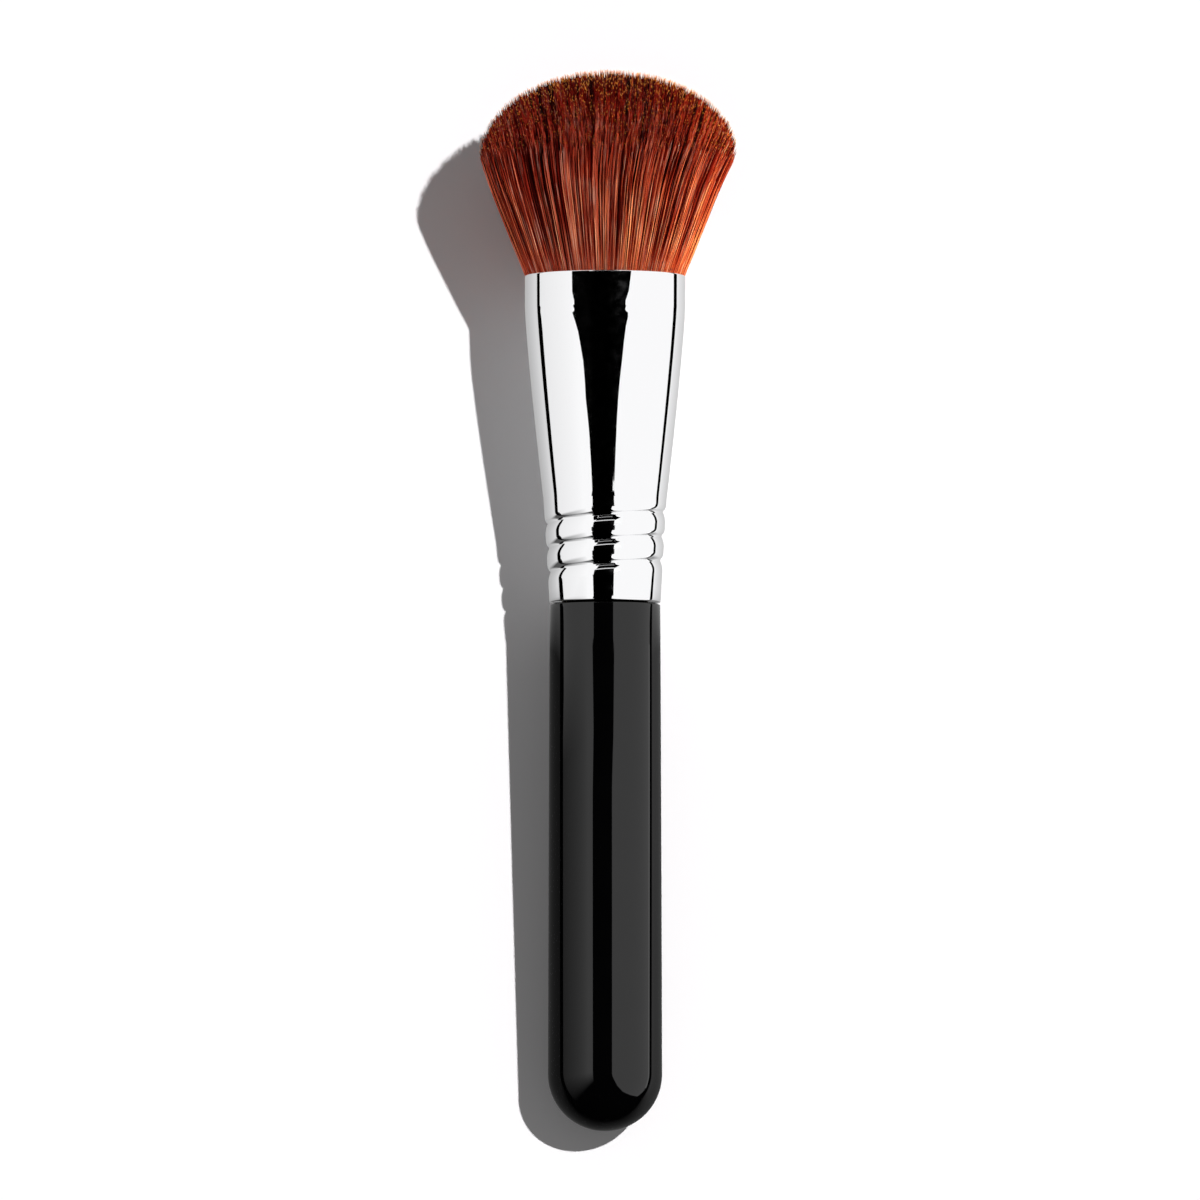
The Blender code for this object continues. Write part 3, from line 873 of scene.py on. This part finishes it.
def glow_along(tree, place, by_handle, by_ferrule, end, joint):
    """One light beside the handle and another beside the ferrule, and dark past the handle's end.

    end and joint are the stretches along the brush, in millimetres, over which it changes.
    """
    past = map_range(tree, place, end[0] * MM, end[1] * MM, 0.0, 1.0)
    by_handle = math_node(tree, "MULTIPLY", by_handle, past)
    beside = map_range(tree, place, joint[0] * MM, joint[1] * MM, 0.0, 1.0)
    return map_range(tree, beside, 0.0, 1.0, by_handle, by_ferrule)


def left_glow(tree):
    """The left board's light: dimmer low down, most of all beside the handle."""
    parts = place_parts(tree)
    by_ferrule = map_range(tree, parts["Z"], 8 * MM, 90 * MM, 0.86 * BOARD_GLOW, BOARD_GLOW)
    by_handle = map_range(tree, parts["Z"], 10 * MM, 105 * MM, 0.25, BOARD_GLOW)
    return glow_along(tree, parts["Y"], by_handle, by_ferrule, end=(-130, -75), joint=(-20, -4))


def standing(place, edge):
    """Corners of a board that stands beside the brush."""
    return [(place, y, z) for y, z in edge]


def level(height, edge):
    """Corners of a board that lies level."""
    return [(x, y, height) for x, y in edge]


def add_boards():
    """Boards on either side with a dark gap under each, and cards and light bars overhead."""
    panels = [
        ("board_left", standing(LEFT_BOARD, LEFT_TOP + LEFT_BOTTOM), left_glow),
        ("board_right", standing(RIGHT_BOARD, RIGHT_END + RIGHT_TOP + RIGHT_BOTTOM), BOARD_GLOW),
        ("gap_left", standing(LEFT_BOARD, LEFT_BOTTOM + FOOT), 0.0),
        ("gap_right", standing(RIGHT_BOARD, RIGHT_BOTTOM + FOOT), 0.0),
        ("strip_left", level(FOOT_HEIGHT, LEFT_STRIP), 0.0),
        ("strip_right", level(FOOT_HEIGHT, RIGHT_STRIP), 0.0),
        ("rim_right", standing(RIM_PLACE, RIM), RIM_GLOW),
        ("card_left", level(CARD_HEIGHT, LEFT_CARD), 0.0),
        ("card_right", level(CARD_HEIGHT, RIGHT_CARD), 0.0),
    ]
    left, right = BAR_ENDS
    for number, (near, far, glow) in enumerate(BARS):
        bar = [(left, near), (right, near), (right, far), (left, far)]
        panels.append((f"bar_{number}", level(BAR_HEIGHT, bar), glow))
    for panel in panels:
        add_panel(*panel)


def floor_glow(tree):
    """How bright the floor shows in gloss, a painted reflection in place of its lit self: dimmer
    close by, dimmest to the left of the handle, as painted shade of the brush.
    """
    parts = place_parts(tree)
    away = math_node(tree, "ABSOLUTE", parts["X"])
    side = map_range(tree, parts["X"], -2 * MM, 2 * MM, 0.0, 1.0)
    left = map_range(tree, away, 12 * MM, 45 * MM, 0.46, 0.71)
    right = map_range(tree, away, 12 * MM, 38 * MM, 0.6, 0.9)
    by_ferrule = map_range(tree, side, 0.0, 1.0, left, right)
    right = map_range(tree, away, 11 * MM, 38 * MM, 0.12, 0.42)
    by_handle = map_range(tree, side, 0.0, 1.0, 0.09, right)
    return glow_along(tree, parts["Y"], by_handle, by_ferrule, end=(-100, -80), joint=(-5, 3))


def add_floor(low):
    """A plain white floor at the brush's lowest point, which keeps its shadow."""
    form = bmesh.new()
    bmesh.ops.create_grid(form, x_segments=1, y_segments=1, size=FLOOR_REACH)
    mesh = bpy.data.meshes.new("floor")
    form.to_mesh(mesh)
    form.free()
    floor = bpy.data.objects.new("floor", mesh)
    floor.location.z = low
    bpy.context.scene.collection.objects.link(floor)
    made, tree, shader = new_material("floor", Base_Color=FLOOR_COLOUR, Roughness=FLOOR_ROUGHNESS)
    shader.inputs["Specular IOR Level"].default_value = 0.0
    paths = add_node(tree, "LightPath")
    seen = math_node(tree, "MULTIPLY", paths.outputs["Is Camera Ray"], FLOOR_GLOW)
    tree.links.new(seen, shader.inputs["Emission Strength"])
    shader.inputs["Emission Color"].default_value = (1, 1, 1, 1)
    # painted reflection: in gloss the floor shows this glow instead of its lit self
    gloss = add_node(tree, "Emission", {"Strength": floor_glow(tree)})
    either = {0: paths.outputs["Is Glossy Ray"], 1: shader.outputs[0], 2: gloss.outputs[0]}
    either = add_node(tree, "MixShader", either)
    tree.links.new(either.outputs[0], tree.nodes["Material Output"].inputs["Surface"])
    mesh.materials.append(made)
    floor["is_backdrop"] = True


def add_world():
    """White to the camera, a soft dim light to the rest, and a glow low down in gloss."""
    world = bpy.data.worlds.new("studio")
    bpy.context.scene.world = world
    world.use_nodes = True
    tree = world.node_tree
    shader = tree.nodes["Background"]
    paths = add_node(tree, "LightPath")
    towards = add_node(tree, "TexCoord").outputs["Generated"]
    parts = add_node(tree, "SeparateXYZ", {"Vector": towards}).outputs
    horizon = map_range(tree, parts["Z"], 0.0, HORIZON_HEIGHT, HORIZON_GLOW, 0.0)
    past_hair = map_range(tree, parts["Y"], -HORIZON_EDGE, HORIZON_EDGE, 0.0, 1.0)
    horizon = math_node(tree, "MULTIPLY", horizon, past_hair)
    gloss = math_node(tree, "MULTIPLY", paths.outputs["Is Glossy Ray"], horizon)
    other = math_node(tree, "SUBTRACT", 1.0, paths.outputs["Is Glossy Ray"])
    dim = math_node(tree, "MULTIPLY", other, AMBIENT)
    both = math_node(tree, "ADD", gloss, dim)
    strength = math_node(tree, "MAXIMUM", both, paths.outputs["Is Camera Ray"])
    tree.links.new(strength, shader.inputs["Strength"])
    shader.inputs["Color"].default_value = (1, 1, 1, 1)


def add_lights():
    """One hard light from the upper right, and a soft warm one from each side for the hair."""
    sun = bpy.data.lights.new("key", "SUN")
    sun.energy = SUN_STRENGTH
    sun.angle = SUN_ANGLE
    add_lamp(sun, SUN_TRAVEL, Vector())
    lit = bpy.data.collections.new("lit_hair")
    for piece in list(bpy.context.scene.objects):
        if piece.name.startswith("hair"):
            lit.objects.link(piece)
    for name, (power, colour, place) in FILLS.items():
        fill = bpy.data.lights.new(name, "AREA")
        fill.energy = power
        fill.color = colour
        fill.size = FILL_SIZE
        lamp = add_lamp(fill, -place, place)
        lamp.light_linking.receiver_collection = lit


def add_lamp(light, travel, place):
    """Links a light at a place, shining along travel."""
    lamp = bpy.data.objects.new(light.name, light)
    lamp.location = place
    lamp.rotation_mode = "QUATERNION"
    lamp.rotation_quaternion = travel.to_track_quat("-Z", "Y")
    bpy.context.scene.collection.objects.link(lamp)
    return lamp


def add_camera():
    """The photograph's view: from far away, almost straight down, on the handle's side."""
    data = bpy.data.cameras.new("camera")
    data.sensor_width = SENSOR_WIDTH
    data.lens = SENSOR_WIDTH * CAMERA_DISTANCE / VIEW_WIDTH
    data.clip_end = 2 * CAMERA_DISTANCE
    camera = bpy.data.objects.new("camera", data)
    back = Vector((0, -math.cos(CAMERA_ELEVATION), math.sin(CAMERA_ELEVATION)))
    camera.location = AIM + CAMERA_DISTANCE * back
    camera.rotation_mode = "QUATERNION"
    camera.rotation_quaternion = (-back).to_track_quat("-Z", "Y")
    bpy.context.scene.collection.objects.link(camera)
    bpy.context.scene.camera = camera


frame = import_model()
PLACE = lay_down()
bpy.context.scene.view_settings.view_transform = "Standard"
make_ferrule()
make_handle()
make_hair()
dress_inner_nodes(frame["nodes"])
add_floor(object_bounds()[0].z)
add_boards()
add_world()
add_lights()
add_camera()
